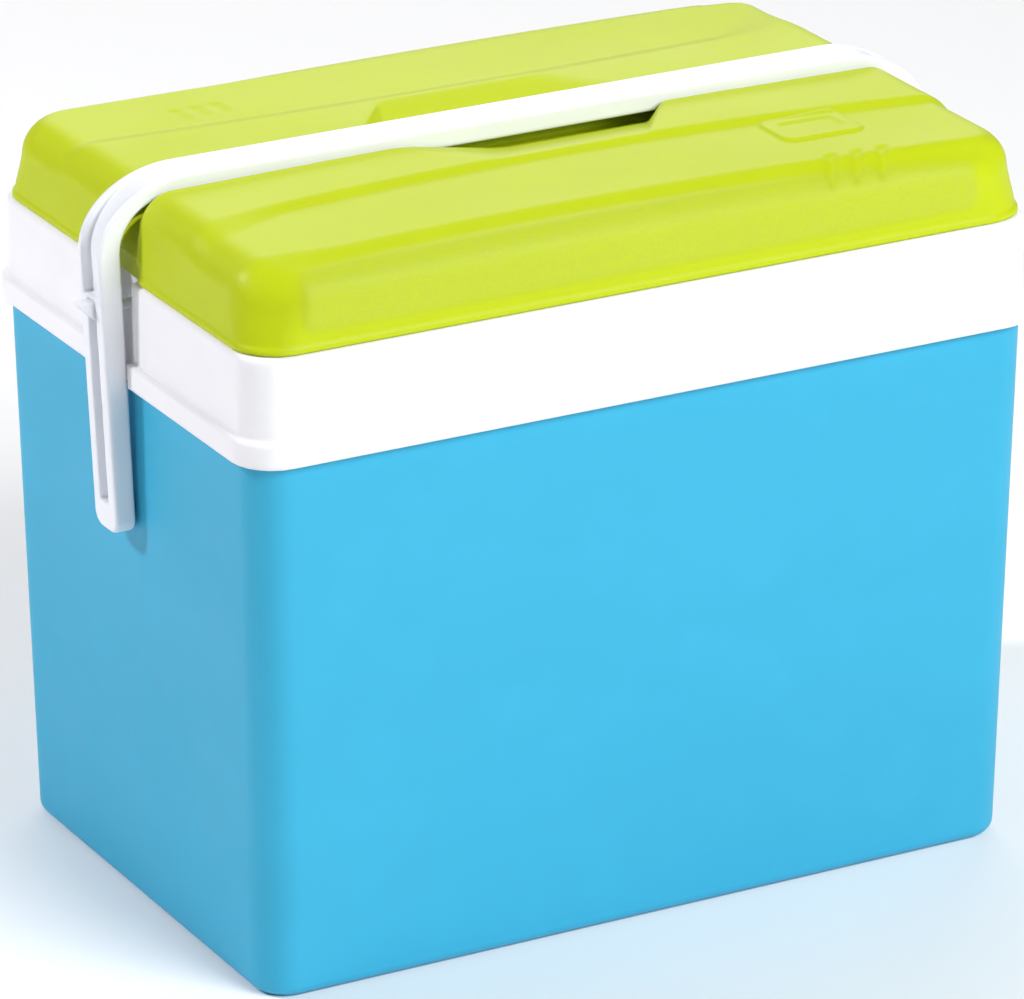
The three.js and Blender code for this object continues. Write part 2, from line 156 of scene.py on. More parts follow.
def net(field, low, high, step):
    """A closed quad mesh on the field's zero surface. Gives points and faces."""
    margin = MARGIN_CELLS * step
    low, high = np.array(low, float) - margin, np.array(high, float) + margin
    counts = np.ceil((high - low) / step).astype(int) + 1
    axes = [low[i] + step * np.arange(counts[i]) for i in range(3)]
    values = np.empty(counts, np.float32)
    rows = max(1, VALUES_AT_ONCE // (counts[1] * counts[2]))
    for start in range(0, counts[0], rows):
        x, y, z = np.meshgrid(axes[0][start:start + rows], axes[1], axes[2], indexing="ij")
        values[start:start + rows] = field(x, y, z)
    inside = values < 0
    cells = tuple(counts - 1)
    filled = np.zeros(cells, np.int8)
    for i, j, k in CORNERS:
        filled += inside[i:i + cells[0], j:j + cells[1], k:k + cells[2]]
    active = np.argwhere((filled > 0) & (filled < 8))
    number = np.full(cells, -1, np.int64)
    number[tuple(active.T)] = np.arange(len(active))
    at = [values[tuple((active + c).T)].astype(float) for c in CORNERS]
    total, used = np.zeros((len(active), 3)), np.zeros(len(active))
    for a, b in EDGES:
        crossed = (at[a] < 0) != (at[b] < 0)
        span = np.where(crossed, at[a] - at[b], 1)
        t = np.where(crossed, at[a] / span, 0)[:, None]
        total += np.where(crossed[:, None], CORNERS[a] + t * (CORNERS[b] - CORNERS[a]), 0)
        used += crossed
    points = low + step * (active + total / used[:, None])
    faces = []
    for axis in range(3):
        u, v = (axis + 1) % 3, (axis + 2) % 3
        first = np.moveaxis(inside, axis, 0)[:-1]
        second = np.moveaxis(inside, axis, 0)[1:]
        found = np.argwhere(np.moveaxis(first != second, 0, axis))
        step_u, step_v = np.eye(3, dtype=int)[u], np.eye(3, dtype=int)[v]
        corners = [found - step_u - step_v, found - step_v, found, found - step_u]
        quads = np.stack([number[tuple(c.T)] for c in corners], 1)
        outward = inside[tuple(found.T)]
        quads[~outward] = quads[~outward][:, ::-1]
        faces.append(quads)
    faces = np.concatenate(faces)
    pairs = edge_pairs(faces)
    for _ in range(RELAX_ROUNDS):
        points = onto_surface(field, 0.4 * points + 0.6 * neighbour_mean(points, pairs), 1)
    return onto_surface(field, points, 2), faces


# ---------------------------------------------------------------- pieces

EDGE_CURVATURE = (0.3, 0.6)  # per millimetre: no wear below the first, full above the second


def face_normals(points, faces):
    """Normals of quads, as long as twice their areas."""
    a, b, c, d = (points[faces[:, i]] for i in range(4))
    return np.cross(c - a, d - b)


def edge_measure(points, faces):
    """1 along sharp outside edges and 0 on flat, broadly curved and hollow places."""
    normal = np.zeros_like(points)
    flat = face_normals(points, faces)
    for corner in range(4):
        for axis in range(3):
            normal[:, axis] += np.bincount(faces[:, corner], flat[:, axis], len(points))
    normal /= np.maximum(np.linalg.norm(normal, axis=1, keepdims=True), 1e-12)
    pairs = edge_pairs(faces)
    pairs = pairs[pairs[:, 0] != pairs[:, 1]]
    out = ((points - neighbour_mean(points, pairs)) * normal).sum(1)
    squares = ((points[pairs[:, 0]] - points[pairs[:, 1]]) ** 2).sum(1)
    total = np.bincount(pairs.ravel(), np.repeat(squares, 2), len(points))
    count = np.bincount(pairs.ravel(), minlength=len(points))
    curvature = 2 * out * count / np.maximum(total, 1e-9)
    for _ in range(2):
        mean = neighbour_mean(np.stack([curvature] * 3, 1), pairs)[:, 0]
        curvature = 0.5 * curvature + 0.5 * mean
    return ease(curvature, *EDGE_CURVATURE)


def make_piece(name, points, faces, body, material, replaced=(), masks=None):
    """A mesh object in metres from points in millimetres and quad faces."""
    mesh = bpy.data.meshes.new(name)
    mesh.vertices.add(len(points))
    mesh.vertices.foreach_set("co", (points * MM).astype(np.float32).ravel())
    mesh.loops.add(faces.size)
    mesh.loops.foreach_set("vertex_index", faces.astype(np.int32).ravel())
    mesh.polygons.add(len(faces))
    mesh.polygons.foreach_set("loop_start", np.arange(0, faces.size, 4, dtype=np.int32))
    mesh.update(calc_edges=True)
    mesh.validate()
    mesh.polygons.foreach_set("use_smooth", np.ones(len(mesh.polygons), bool))
    rows = {"edge": edge_measure(points, faces), **(masks or {})}
    for key, values in rows.items():
        attribute = mesh.attributes.new(key, "FLOAT", "POINT")
        if len(values) == len(mesh.vertices):
            attribute.data.foreach_set("value", values.astype(np.float32))
    mesh.materials.append(material)
    piece = bpy.data.objects.new(name, mesh)
    bpy.context.scene.collection.objects.link(piece)
    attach(piece, body)
    if replaced:
        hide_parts(*replaced)
    return piece


def ring(half_x, half_y, radius, z, per_corner=14, per_side=60, notch=16.1):
    """Points of a rounded rectangle at one height, anticlockwise from above."""
    quarter = np.linspace(0, math.pi / 2, per_corner + 1)
    flat_x, flat_y = half_x - radius, half_y - radius
    corner = np.column_stack([flat_x + radius * np.cos(quarter),
                              flat_y + radius * np.sin(quarter)])
    along = np.linspace(flat_x, -flat_x, per_side + 1)[1:-1]
    top = np.column_stack([along, np.full(len(along), half_y)])
    part = np.linspace(flat_y, notch + 0.5, 14)
    down = np.concatenate([part[1:], np.linspace(notch, -notch, 8), -part[:0:-1]])
    left = np.column_stack([np.full(len(down), -half_x), down])
    second = corner[::-1] * (-1, 1)
    half = np.concatenate([corner, top, second, left])
    flat = np.concatenate([half, -half])
    return np.column_stack([flat, np.full(len(flat), float(z))])


def stacked(rings):
    """Quads between rings of equally many points."""
    count = len(rings[0])
    points = np.concatenate(rings)
    i = np.arange(count)
    j = (i + 1) % count
    faces = []
    for r in range(len(rings) - 1):
        a, b = r * count, (r + 1) * count
        faces.append(np.stack([a + i, a + j, b + j, b + i], 1))
    return points, np.concatenate(faces)


def capped(points, faces, bottom, top):
    """Closes a stack of rings with a fan of quads round a point in the middle of each end."""
    count = len(bottom)
    centre_low, centre_high = len(points), len(points) + 1
    points = np.concatenate([points, [bottom.mean(0)], [top.mean(0)]])
    last = len(points) - 2 - count
    i = np.arange(0, count, 2)
    low = np.stack([np.full(len(i), centre_low), (i + 2) % count, i + 1, i], 1)
    high = np.stack([np.full(len(i), centre_high), last + i, last + i + 1,
                     last + (i + 2) % count], 1)
    return points, np.concatenate([faces, low, high])


def ring_piece(rings):
    points, faces = stacked(rings)
    return capped(points, faces, rings[0], rings[-1])


def drawn_in(edge, share):
    """A ring drawn in towards the middle, at the same height."""
    return np.column_stack([edge[:, 0] * share, edge[:, 1] * share, edge[:, 2]])


def table(distance, low, high, step):
    """A distance in a plane, worked out once on a grid and then looked up."""
    first = np.arange(low[0], high[0] + step, step)
    second = np.arange(low[1], high[1] + step, step)
    a, b = np.meshgrid(first, second, indexing="ij")
    values = distance(a, b)

    def look_up(x, y):
        u = np.clip((x - low[0]) / step, 0, len(first) - 1.001)
        v = np.clip((y - low[1]) / step, 0, len(second) - 1.001)
        i, j = u.astype(int), v.astype(int)
        s, t = u - i, v - j
        return ((1 - s) * ((1 - t) * values[i, j] + t * values[i, j + 1])
                + s * ((1 - t) * values[i + 1, j] + t * values[i + 1, j + 1]))
    return look_up


# ---------------------------------------------------------------- chest

SHELL = {"base": (191.45, 125.25), "top": (195.8, 130.8), "height": 254.7,
         "corner": 17.5, "round": 6.0, "rim": 261.7, "wall": 2.5}
NOTCH = {"half": 16.1, "top": 254.4}


def shell_ring(z, inset):
    share = z / SHELL["height"]
    half_x = SHELL["base"][0] + (SHELL["top"][0] - SHELL["base"][0]) * share - inset
    half_y = SHELL["base"][1] + (SHELL["top"][1] - SHELL["base"][1]) * share - inset
    points = ring(half_x, half_y, max(SHELL["corner"] - inset, 2), z, notch=NOTCH["half"])
    if z > NOTCH["top"]:
        at_end = np.abs(points[:, 0]) > half_x - 1
        cut_down = at_end & (np.abs(points[:, 1]) < NOTCH["half"] + 0.2)
        points[cut_down, 2] = NOTCH["top"]
    return points


def outer_shell():
    bend = SHELL["round"]
    edge = shell_ring(0, bend)
    rings = [drawn_in(edge, share) for share in (0.1, 0.3, 0.5, 0.7, 0.82, 0.9, 0.96)]
    steps = 8
    for i in range(steps + 1):
        turn = i / steps * math.pi / 2
        rings.append(shell_ring(bend * (1 - math.cos(turn)), bend * (1 - math.sin(turn))))
    for z in np.linspace(bend, SHELL["rim"] - 1, 34)[1:]:
        rings.append(shell_ring(z, 0))
    rim = SHELL["rim"]
    for z, inset in ((rim - 0.3, 0.1), (rim, 0.5), (rim, 2.0), (rim - 0.3, 2.4)):
        rings.append(shell_ring(z, inset))
    for z in (rim - 1, 200, 120, 40, 10):
        rings.append(shell_ring(z, SHELL["wall"]))
    for z, inset in ((5.5, 3.3), (3.2, 5.6), (2.5, 9)):
        rings.append(shell_ring(z, inset))
    last = rings[-1]
    rings += [drawn_in(last, share) for share in (0.7, 0.35, 0.08)]
    return ring_piece(rings)


LINER = {"floor": 30.0, "wall": 2.0, "base": (164.0, 99.0), "top": (172.0, 107.0),
         "height": 304.3, "rim": 301.0, "flange": (181.5, 117.0), "flange_corner": 28.0,
         "flange_low": 298.2, "corner": 20.0, "round": 8.0}


def liner_ring(z, grow):
    share = z / LINER["height"]
    half_x = LINER["base"][0] + (LINER["top"][0] - LINER["base"][0]) * share + grow
    half_y = LINER["base"][1] + (LINER["top"][1] - LINER["base"][1]) * share + grow
    return ring(half_x, half_y, LINER["corner"] + grow, z)


def inner_liner():
    bend, floor, rim = LINER["round"], LINER["floor"], LINER["rim"]
    edge = liner_ring(floor, -bend)
    rings = [drawn_in(edge, share) for share in (0.05, 0.3, 0.55, 0.75, 0.9)]
    steps = 8
    for i in range(steps + 1):
        turn = i / steps * math.pi / 2
        rings.append(liner_ring(floor + bend * (1 - math.cos(turn)),
                                -bend * (1 - math.sin(turn))))
    for z in np.linspace(floor + bend, rim - 1.5, 30)[1:]:
        rings.append(liner_ring(z, 0))
    rings.append(liner_ring(rim - 0.4, 0.3))
    rings.append(liner_ring(rim, 1.2))
    half_x, half_y = LINER["flange"]
    corner, low = LINER["flange_corner"], LINER["flange_low"]
    for z, inset in ((rim, 1.0), (rim - 0.6, 0.2), (low + 0.6, 0.0), (low, 0.8)):
        rings.append(ring(half_x - inset, half_y - inset, corner - inset, z))
    wall = LINER["wall"]
    rings.append(liner_ring(low, wall + 0.4))
    for z in (low - 1.5, 200, 120, 60, floor + bend - wall):
        rings.append(liner_ring(z, wall))
    under = floor - wall
    for z, inset in ((under + 3.2, 1.4), (under + 0.9, 4.2), (under, 8)):
        rings.append(liner_ring(z, wall - inset))
    last = rings[-1]
    rings += [drawn_in(last, share) for share in (0.7, 0.35, 0.08)]
    rings.reverse()
    return ring_piece(rings)


# ---------------------------------------------------------------- collar and studs

COLLAR = {"half": (197.0, 132.0), "corner": 18.5, "top": 304.3, "round": 3.0, "wall": 3.0,
          "lip": (200.0, 135.0), "lip_corner": 21.0, "lip_low": 254.7, "lip_top": 266.7,
          "lip_round": 1.3, "mouth": (172.0, 107.0), "mouth_corner": 20.0,
          "pocket": 11.85, "pocket_floor": 187.0, "sill": 257.7, "inside": (196.3, 131.3),
          "lip_fillet": 0.8, "mouth_low": 284.0, "mouth_round": 1.0, "pocket_round": 0.7,
          "leg_way": 195.5, "leg_way_round": 0.5, "hole": 2.6, "hole_reach": (183.0, 190.0)}


def collar_field(x, y, z):
    c = COLLAR
    side, across = np.abs(x), np.abs(y)
    upper = rounded_max(rectangle(x, y, *c["half"], c["corner"]),
                        slab(z, c["lip_low"] + 1, c["top"]), c["round"])
    lip = rounded_max(rectangle(x, y, *c["lip"], c["lip_corner"]),
                      slab(z, c["lip_low"], c["lip_top"]), c["lip_round"])
    outside = rounded_min(upper, lip, c["lip_fillet"])
    shell_space = np.maximum(rectangle(x, y, *c["inside"], SHELL["corner"]),
                             z - SHELL["rim"] - 0.3)
    hollow = np.maximum(rectangle(x, y, c["half"][0] - c["wall"], c["half"][1] - c["wall"],
                                  c["corner"] - c["wall"]),
                        z - c["top"] + c["wall"])
    body = np.maximum(outside, -np.minimum(shell_space, hollow))
    box = np.maximum(across - c["pocket"] - c["wall"], c["pocket_floor"] - c["wall"] - side)
    body = np.minimum(body, np.maximum(outside, box))
    mouth = np.maximum(rectangle(x, y, *c["mouth"], c["mouth_corner"]),
                       c["mouth_low"] - z)
    body = cut(body, mouth, c["mouth_round"])
    pocket = np.maximum(np.maximum(across - c["pocket"], c["pocket_floor"] - side),
                        c["sill"] - z)
    body = cut(body, pocket, c["pocket_round"])
    leg_way = np.maximum(across - c["pocket"], c["leg_way"] - side)
    body = cut(body, leg_way, c["leg_way_round"])
    hole = np.maximum(np.hypot(y, z - STUD["z"]) - c["hole"], slab(side, *c["hole_reach"]))
    return np.maximum(body, -hole)


STUD = {"z": 290.0, "shank": 2.3, "end": 182.5, "shoulder": 5.0, "shoulder_x": 190.0,
        "shoulder_in": 187.3, "head_in": 206.0, "head_out": 218.0, "half": 3.7, "tall": 4.0,
        "tip": 1.4, "head_foot": 211.0, "shank_round": 0.5, "head_round": 0.6,
        "ramp_round": 0.4, "fillet": 0.3, "reach": 5.0, "rise": 6.0}


def stud_field(side):
    """A stud's distance field. side is -1 for the left end and 1 for the right."""
    s = STUD

    def field(x, y, z):
        out = x * side
        radial = np.hypot(y, z - s["z"])
        shank = rounded_max(radial - s["shank"], slab(out, s["end"], s["head_in"] + 1),
                            s["shank_round"])
        shoulder = rounded_max(radial - s["shoulder"],
                               slab(out, s["shoulder_in"], s["shoulder_x"]),
                               s["shank_round"])
        up = z - s["z"]
        run, rise = s["head_out"] - s["head_foot"], 2 * s["tall"] - s["tip"]
        ramp = ((out - s["head_foot"]) * rise - (up + s["tall"]) * run) / math.hypot(run, rise)
        head = rounded_max(np.abs(y) - s["half"], slab(up, -s["tall"], s["tall"]),
                           s["head_round"])
        head = rounded_max(head, slab(out, s["head_in"], s["head_out"]), s["head_round"])
        head = rounded_max(head, ramp, s["ramp_round"])
        return rounded_min(rounded_min(shank, shoulder, s["fillet"]), head, s["fillet"])
    return field


# ---------------------------------------------------------------- lid

LID = {"half": (196.3, 130.4), "base": 304.6, "crown": 345.4, "camber": 5e-5,
       "rim_wall": 3.6, "extra_wall": 1.6, "extra_height": 4.4,
       "corner": 21.9, "corner_growth": 7.2, "growth_height": 22.0, "end_slope": 0.116,
       "inner_step": 2.4, "outer_step": 2.8, "front_round": 13.5, "end_round": 14.2,
       "fade": 1.8, "fade_from": (-182.0, -140.0), "back_spread": 1.8,
       "rim": (2.2, 3.8), "rim_inset": 0.4,
       "bend_change": (150.0, 185.0), "rim_round": 0.6, "ceiling": 346.0}
INNER_RAMP = (0.4, 7.2)     # how far the ramps spread to each side of the creases
OUTER_RAMP = (3.6, 5.4)
PANEL = {"low": 311.5, "above_crease": 5.5, "centre": -2.5, "half": 170.5, "corner": 7.0,
         "lean": 0.8, "edge": (-4.8, 0.5), "recess": 0.75, "from_y": (112.0, 122.0)}
CHANNEL = {"half": 12.75, "floor": 328.0, "end": 193.8, "bend": 18.0, "edge": 1.3}
END_RECESS = {"half": 17.0, "top": 312.5, "edge": 1.0}
SCOOP = {"outer": 48.0, "top": 345.3, "low": 336.2, "steep": (43.0, 70.5),
         "steep_run": 0.87, "gentle": (-35.5, -65.0), "gentle_run": 5.7,
         "inside": 1.2, "edge": 1.3}
TOP_SHARE = 0.99            # keeps the top's field below a true distance on the slopes


def crease_inner(u):
    return 47.3 + 0.0083 * u + 3.15e-4 * u * u


def crease_outer(u):
    return 110.2 + 0.0173 * u + 1.93e-4 * u * u


def lid_turned(x, y):
    """The lid is styled the same turned half a turn: u runs along, v away from the middle."""
    return np.where(y > 0, -x, x), np.abs(y)


def lid_top(x, y):
    u, v = lid_turned(x, y)
    inner, outer = crease_inner(u), crease_outer(u)
    spread = 1 + LID["fade"] * (1 - ease(u, *LID["fade_from"]))
    back = np.where(y > 0, LID["back_spread"], 1)
    return (LID["crown"] - LID["camber"] * u * u
            - LID["inner_step"] * ease(v, inner - INNER_RAMP[0],
                                       inner + INNER_RAMP[1] * spread * back)
            - LID["outer_step"] * ease(v, outer - OUTER_RAMP[0] * spread,
                                       outer + OUTER_RAMP[1]))


def panel_mask(x, y, z):
    """1 on the raised panel of the front and the back, 0 off it."""
    u, v = lid_turned(x, y)
    top_v = crease_outer(u) + PANEL["above_crease"]
    along = np.abs(u - PANEL["centre"]) - PANEL["half"]
    down = PANEL["low"] - z
    up = (top_v - v) * PANEL["lean"]
    d = rounded_max(rounded_max(along, down, PANEL["corner"]), up, PANEL["corner"])
    return 1 - ease(d, *PANEL["edge"])


GRIPS = {"front": {"sign": -1, "first": 99.2, "pitch": 13.2, "middle": 117.2, "half": 6.5,
                   "lean": 0.55, "depth": 1.0},
         "back": {"sign": 1, "first": 107.0, "pitch": 10.0, "middle": 81.0, "half": 5.0,
                  "lean": 0.0, "depth": 0.55}}
GRIP_GROOVE = {"count": 3, "radius": 3.8, "edge": (-3.8, 1.4), "depth": 1.35,
               "lean_from": 112.0, "above": (324.0, 332.0)}
BADGE = {"centre": (113.5, -71.0), "half": (21.0, 14.5), "corner": 6.0, "edge": (-1.0, 0.6),
         "rise": 1.1, "field": (14.0, 7.5), "field_corner": 3.0, "field_edge": (-0.8, 0.6),
         "field_depth": 0.6, "above": (330.0, 336.0)}


def groove_mask(x, y):
    """1 in the three short finger grooves near one end of each half, 0 off them."""
    u, v = lid_turned(x, y)
    total = np.zeros_like(u)
    for grip in GRIPS.values():
        for number in range(GRIP_GROOVE["count"]):
            centre = grip["first"] + number * grip["pitch"]
            axis = centre - grip["lean"] * (v - GRIP_GROOVE["lean_from"])
            along = np.maximum(np.abs(v - grip["middle"]) - grip["half"], 0)
            off = ease(np.hypot(u - axis, along) - GRIP_GROOVE["radius"],
                       *GRIP_GROOVE["edge"])
            here = grip["depth"] * (1 - off)
            total = np.maximum(total, np.where(y * grip["sign"] > 0, here, 0))
    return total


def badge_masks(x, y):
    """A blank badge across the inner crease of the front half, and the field in it."""
    across, along = x - BADGE["centre"][0], y - BADGE["centre"][1]
    edge = rectangle(across, along, *BADGE["half"], BADGE["corner"])
    field = rectangle(across, along, *BADGE["field"], BADGE["field_corner"])
    return 1 - ease(edge, *BADGE["edge"]), 1 - ease(field, *BADGE["field_edge"])


def scoop_field(x, y, z):
    """The finger scoop beside the bar: a floor that falls to the channel, and two ramps."""
    u, v = lid_turned(x, y)
    share = (SCOOP["outer"] - v) / (SCOOP["outer"] - CHANNEL["half"])
    depth = SCOOP["top"] - z
    floor = (SCOOP["top"] - SCOOP["low"]) * (1 - share) + SCOOP["low"] - z
    (near, far), run = SCOOP["steep"], SCOOP["steep_run"]
    steep = (u - near - (far - near) * share + run * depth) / math.hypot(1, run)
    (near, far), run = SCOOP["gentle"], SCOOP["gentle_run"]
    gentle = (near + (far - near) * share - u + run * depth) / math.hypot(1, run)
    ramps = rounded_max(steep, gentle, SCOOP["inside"])
    return rounded_max(floor, ramps, SCOOP["inside"])


def lid_plain(x, y, z):
    """The lid's outside without the panel, grooves and badge."""
    side_x, side_y = np.abs(x), np.abs(y)
    over = z - LID["base"]
    inset = LID["rim_inset"] * ease(over, *LID["rim"])
    wall_x = side_x - LID["half"][0] + LID["end_slope"] * over + inset
    wall_y = side_y - LID["half"][1] + inset
    corner = LID["corner"] + LID["corner_growth"] * ease(over, 0, LID["growth_height"])
    plan = rounded_max(wall_x, wall_y, corner)
    top = (z - lid_top(x, y)) * TOP_SHARE
    change = ease(side_x, *LID["bend_change"])
    bend = LID["front_round"] + (LID["end_round"] - LID["front_round"]) * change
    return rounded_max(plan, top, bend)


def lid_detailed(body, x, y, z):
    """The lid's outside with the panel, grooves and badge, from the plain one."""
    body = body + PANEL["recess"] * ((1 - panel_mask(x, y, z))
                                     * ease(np.abs(y), *PANEL["from_y"])
                                     * ease(z - LID["base"], *LID["rim"]))
    body += GRIP_GROOVE["depth"] * groove_mask(x, y) * ease(z, *GRIP_GROOVE["above"])
    edge, field = badge_masks(x, y)
    body -= (BADGE["rise"] * edge - BADGE["field_depth"] * field) * ease(z, *BADGE["above"])
    return body


def channel_field(x, y, z):
    """Negative in the space that the handle's bar and legs run in."""
    core = rounded_max(np.abs(x) - CHANNEL["end"], z - CHANNEL["floor"], CHANNEL["bend"])
    return np.maximum(np.abs(y) - CHANNEL["half"], -core)


def lid_shell_field(x, y, z):
    plain = lid_plain(x, y, z)
    body = lid_detailed(plain, x, y, z)
    recess = np.maximum(np.maximum(np.abs(y) - END_RECESS["half"], z - END_RECESS["top"]),
                        CHANNEL["end"] - np.abs(x))
    for space, radius in ((scoop_field(x, y, z), SCOOP["edge"]),
                          (channel_field(x, y, z), CHANNEL["edge"]),
                          (recess, END_RECESS["edge"])):
        body, plain = cut(body, space, radius), cut(plain, space, radius)
    more = ease(z - LID["base"], 0, LID["extra_height"])
    thickness = LID["rim_wall"] + LID["extra_wall"] * more
    shell = np.maximum(body, -(plain + thickness))
    return rounded_max(shell, LID["base"] - z, LID["rim_round"])


PLUG = {"half": (170.0, 105.0), "corner": 18.0, "low": 276.6, "round": 4.0, "wall": 2.0,
        "flange_top": 307.1, "inset": 5.2}


def plug_ring(z, inset):
    return ring(PLUG["half"][0] - inset, PLUG["half"][1] - inset,
                max(PLUG["corner"] - inset, 2), z, notch=CHANNEL["half"] + PLUG["inset"])


def pan_flange_ring(z, inset):
    """The pan's flange, let in at both ends where the channel runs down."""
    edge = PLUG["inset"]
    half_x = LID["half"][0] - edge - inset
    notch = CHANNEL["half"] + edge
    points = ring(half_x, LID["half"][1] - edge - inset, LID["corner"] - edge - inset, z,
                  notch=notch)
    let_in = (np.abs(points[:, 0]) > half_x - 1) & (np.abs(points[:, 1]) < notch + 0.2)
    points[let_in, 0] = np.sign(points[let_in, 0]) * (CHANNEL["end"] - edge - inset)
    return points


def lid_pan():
    bend, low, wall, top = PLUG["round"], PLUG["low"], PLUG["wall"], PLUG["flange_top"]
    edge = plug_ring(low, bend)
    rings = [drawn_in(edge, share) for share in (0.04, 0.2, 0.4, 0.6, 0.8, 0.92)]
    turns = [i / 7 * math.pi / 2 for i in range(8)]
    for turn in turns:
        rings.append(plug_ring(low + bend * (1 - math.cos(turn)), bend * (1 - math.sin(turn))))
    base = LID["base"]
    for z in (285, 290, 295, 300, base - 1):
        rings.append(plug_ring(z, 0))
    rings.append(plug_ring(base - 0.3, -0.3))
    rings.append(plug_ring(base, -1.0))
    for z, inset in ((base, 0.5), (base + 0.5, 0), (top - 0.5, 0), (top, 0.5)):
        rings.append(pan_flange_ring(z, inset))
    rings.append(plug_ring(top, wall - 0.5))
    for z in (top - 0.5, 300, 290, low + wall + bend - 1):
        rings.append(plug_ring(z, wall))
    inner = bend - 1
    for turn in turns[::-1][1:]:
        rings.append(plug_ring(low + wall + inner * (1 - math.cos(turn)),
                               wall + inner * (1 - math.sin(turn))))
    last = rings[-1]
    rings += [drawn_in(last, share) for share in (0.9, 0.7, 0.35, 0.08)]
    return ring_piece(rings)


# ---------------------------------------------------------------- handle

HANDLE = {"half": 11.25, "foot": 185.0, "foot_round": 7.0, "edge": 1.7,
          "outer_foot": 206.2, "outer_bend": 211.8, "outer_z": 315.0, "outer_reach": 46.0,
          "inner_foot": 196.2, "inner_bend": 201.0, "inner_z": 317.0, "inner_reach": 23.0,
          "top": 349.4, "bar": 9.7, "table_step": 0.6, "far_down": 100.0}
GROOVE = {"half": 7.0, "depth": 4.0, "low": 296.0, "from_x": (160.0, 185.0), "inside": 1.0,
          "edge": 0.8}
SLOT = {"half": 2.8, "step": 4.2, "ledge": 5.2, "low": 203.0, "top": 290.0, "play": 0.5,
        "leg_x": 190.0, "corner": 0.8, "step_edge": 0.5, "edge": 0.4}


def hood(foot_x, bend_x, bend_z, reach, top):
    """The outline of one side of the U, closed far below, as (x, z) points."""
    low = HANDLE["far_down"]
    lower = bend_x + (foot_x - bend_x) * (bend_z - low) / (bend_z - HANDLE["foot"])
    right = [(lower, low), (bend_x, bend_z)]
    for i in range(1, 25):
        turn = i / 24 * math.pi / 2
        right.append((bend_x - reach + reach * math.cos(turn),
                      bend_z + (top - bend_z) * math.sin(turn)))
    left = [(-x, z) for x, z in reversed(right)]
    return np.array(right + left)


def carry_handle_field():
    h = HANDLE
    outer_points = hood(h["outer_foot"], h["outer_bend"], h["outer_z"], h["outer_reach"],
                        h["top"])
    inner_points = hood(h["inner_foot"], h["inner_bend"], h["inner_z"], h["inner_reach"],
                        h["top"] - h["bar"])
    low, high = (-216.0, 180.0), (216.0, 354.0)
    step = h["table_step"]
    outer_at = table(lambda a, b: polygon_distance(a, b, outer_points), low, high, step)
    inner_at = table(lambda a, b: polygon_distance(a, b, inner_points), low, high, step)

    def field(x, y, z):
        outer, inner = outer_at(x, z), inner_at(x, z)
        across = np.abs(y)
        section = rectangle(y, z - 300, h["half"], 300 - h["foot"], h["foot_round"])
        body = rounded_max(rounded_max(outer, -inner, h["edge"]), section, h["edge"])
        rise = np.clip((z - h["outer_z"]) / (h["top"] - h["outer_z"]), 0, 1)
        depth = GROOVE["depth"] * (1 - rise * rise) * ease(np.abs(x), *GROOVE["from_x"])
        floor = -(outer + depth)
        groove = rounded_max(floor, across - GROOVE["half"], GROOVE["inside"])
        groove = rounded_max(groove, GROOVE["low"] - z, GROOVE["inside"])
        body = cut(body, groove, GROOVE["edge"])
        middle = (SLOT["low"] + SLOT["top"]) / 2
        reach = (SLOT["top"] - SLOT["low"]) / 2 + SLOT["half"]
        leg = SLOT["leg_x"] - np.abs(x)
        through = np.maximum(rectangle(y, z - middle, SLOT["half"], reach, SLOT["half"]), leg)
        tall = reach - SLOT["half"] + STUD["tall"] + SLOT["play"]
        step = rectangle(y, z - middle, SLOT["step"], tall, SLOT["corner"])
        step = np.maximum(np.maximum(step, SLOT["ledge"] - inner), leg)
        return cut(cut(body, step, SLOT["step_edge"]), through, SLOT["edge"])
    return field


# ---------------------------------------------------------------- materials

def node(tree, kind, **values):
    made = tree.nodes.new(kind)
    for key, value in values.items():
        if key in made.inputs:
            made.inputs[key].default_value = value
        else:
            setattr(made, key, value)
    return made


def math_node(tree, operation, first, second=None, third=None):
    made = tree.nodes.new("ShaderNodeMath")
    made.operation = operation
    for number, value in enumerate((first, second, third)):
        if value is None:
            continue
        if isinstance(value, (int, float)):
            made.inputs[number].default_value = value
        else:
            tree.links.new(value, made.inputs[number])
    return made.outputs[0]


def scaled(tree, value, low_in, high_in, low_out, high_out):
    made = node(tree, "ShaderNodeMapRange", interpolation_type="SMOOTHSTEP")
    for key, number in (("From Min", low_in), ("From Max", high_in),
                        ("To Min", low_out), ("To Max", high_out)):
        made.inputs[key].default_value = number
    tree.links.new(value, made.inputs["Value"])
    return made.outputs["Result"]


def noise(tree, coordinates, scale, detail=3.0, roughness=0.55, stretch=None):
    if stretch is not None:
        mapping = node(tree, "ShaderNodeMapping")
        mapping.inputs["Scale"].default_value = stretch
        tree.links.new(coordinates, mapping.inputs["Vector"])
        coordinates = mapping.outputs["Vector"]
    made = node(tree, "ShaderNodeTexNoise", Scale=scale, Detail=detail, Roughness=roughness)
    tree.links.new(coordinates, made.inputs["Vector"])
    return made.outputs["Fac"]


def mixed(tree, share, first, second):
    made = node(tree, "ShaderNodeMix", data_type="RGBA")
    if isinstance(share, float):
        made.inputs["Factor"].default_value = share
    else:
        tree.links.new(share, made.inputs["Factor"])
    for socket, value in ((made.inputs[6], first), (made.inputs[7], second)):
        if isinstance(value, tuple):
            socket.default_value = (*value, 1)
        else:
            tree.links.new(value, socket)
    return made.outputs[2]


GRAIN_HEIGHT = 0.00004      # metres


